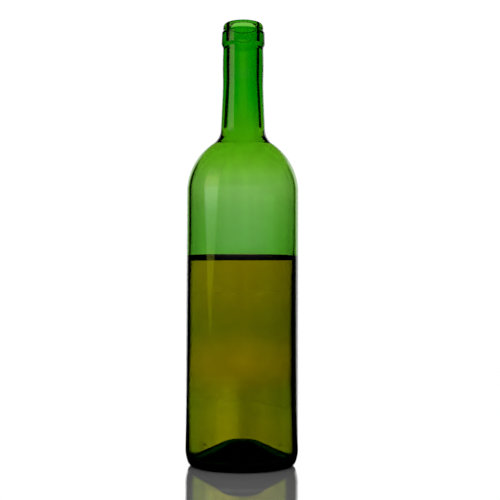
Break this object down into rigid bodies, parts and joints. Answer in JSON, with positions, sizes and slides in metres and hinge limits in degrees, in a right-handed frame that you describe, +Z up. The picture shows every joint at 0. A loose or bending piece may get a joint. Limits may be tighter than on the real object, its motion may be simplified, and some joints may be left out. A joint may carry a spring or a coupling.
{
  "type": "wine bottle",
  "caption": "Tall green glass bottle with straight sides, high shoulders, long neck, rolled lip and pushed-up base, open at the mouth and part filled with wine.",
  "frame": {"origin": "centre of the footprint, on the surface the bottle stands on", "axes": "+Z up along the bottle's axis, towards the mouth"},
  "size_m": [0.0758, 0.0758, 0.3003],
  "materials": {
    "green_glass": "clear olive green glass, smooth and glossy",
    "wine": "clear pale wine, liquid"
  },
  "bodies": {
    "root": {"bottle": "green_glass", "wine": "wine"}
  },
  "joints": []
}
